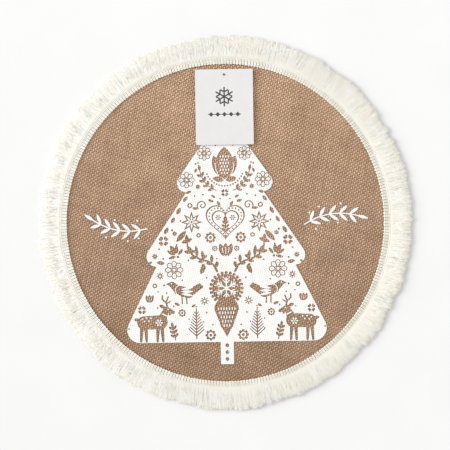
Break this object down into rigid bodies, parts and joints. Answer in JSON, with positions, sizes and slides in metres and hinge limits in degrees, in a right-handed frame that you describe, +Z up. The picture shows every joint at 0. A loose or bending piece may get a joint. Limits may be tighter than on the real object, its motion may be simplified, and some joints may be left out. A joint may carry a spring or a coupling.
{
  "type": "fringed round mat",
  "caption": "Round flat jute mat with a white fir-tree print, a sewn-on cotton fringe trim round the edge, and a card hang tag that swivels and lifts on a plastic pin.",
  "frame": {"origin": "centre of the mat's underside, on the surface it lies on", "axes": "+Z up out of the printed face; +Y towards the top of the printed fir tree and the hang tag; +X to the tree's right"},
  "size_m": [0.38, 0.38, 0.0039],
  "materials": {
    "jute_cloth": "coarse plain-weave jute, matt, mid brown with lighter and darker yarns",
    "lining_cloth": "thin brown plain-weave backing cloth, matt",
    "brown_thread": "spun polyester sewing thread, brown, faint sheen",
    "cotton_trim": "soft-twist cotton yarn, cream white, matt",
    "cotton_thread": "cotton sewing thread, cream white, faint sheen",
    "white_ink": "screen-printed pigment ink, white, matt, follows the weave",
    "tag_card": "smooth white card with a faint satin",
    "grey_ink": "printed grey ink, matt",
    "dark_nylon": "moulded nylon, dark grey, semi-matt",
    "clear_nylon": "drawn nylon filament, translucent"
  },
  "bodies": {
    "mat": {"backing_cloth": "lining_cloth", "face_cloth": "jute_cloth", "edge_overlock_thread": "brown_thread", "trim_header": "cotton_trim", "trim_fringe": "cotton_trim", "trim_chain_thread": "cotton_thread", "seam_needle_thread": "cotton_thread", "seam_bobbin_thread": "cotton_thread", "tree_print": "white_ink", "left_sprig_print": "white_ink", "right_sprig_print": "white_ink", "tag_pin_bar": "dark_nylon"},
    "tag_pin": {"tag_pin_filament": "clear_nylon"},
    "tag": {"hang_tag": "tag_card", "tag_pin_head": "dark_nylon", "tag_mark_print": "grey_ink", "tag_rule_print": "grey_ink"}
  },
  "joints": [
    {"name": "tag_swivel", "type": "hinge", "parent": "mat", "child": "tag_pin", "pos_m": [-0.0016, 0.1499, 0.0016], "axis": [0, 0, 1], "continuous": true},
    {"name": "tag_lift", "type": "hinge", "parent": "tag_pin", "child": "tag", "pos_m": [-0.0017, 0.1565, 0.0032], "axis": [-0.9999, -0.0157, 0], "range_deg": [0, 160], "deforming": ["tag_pin_filament"]}
  ]
}
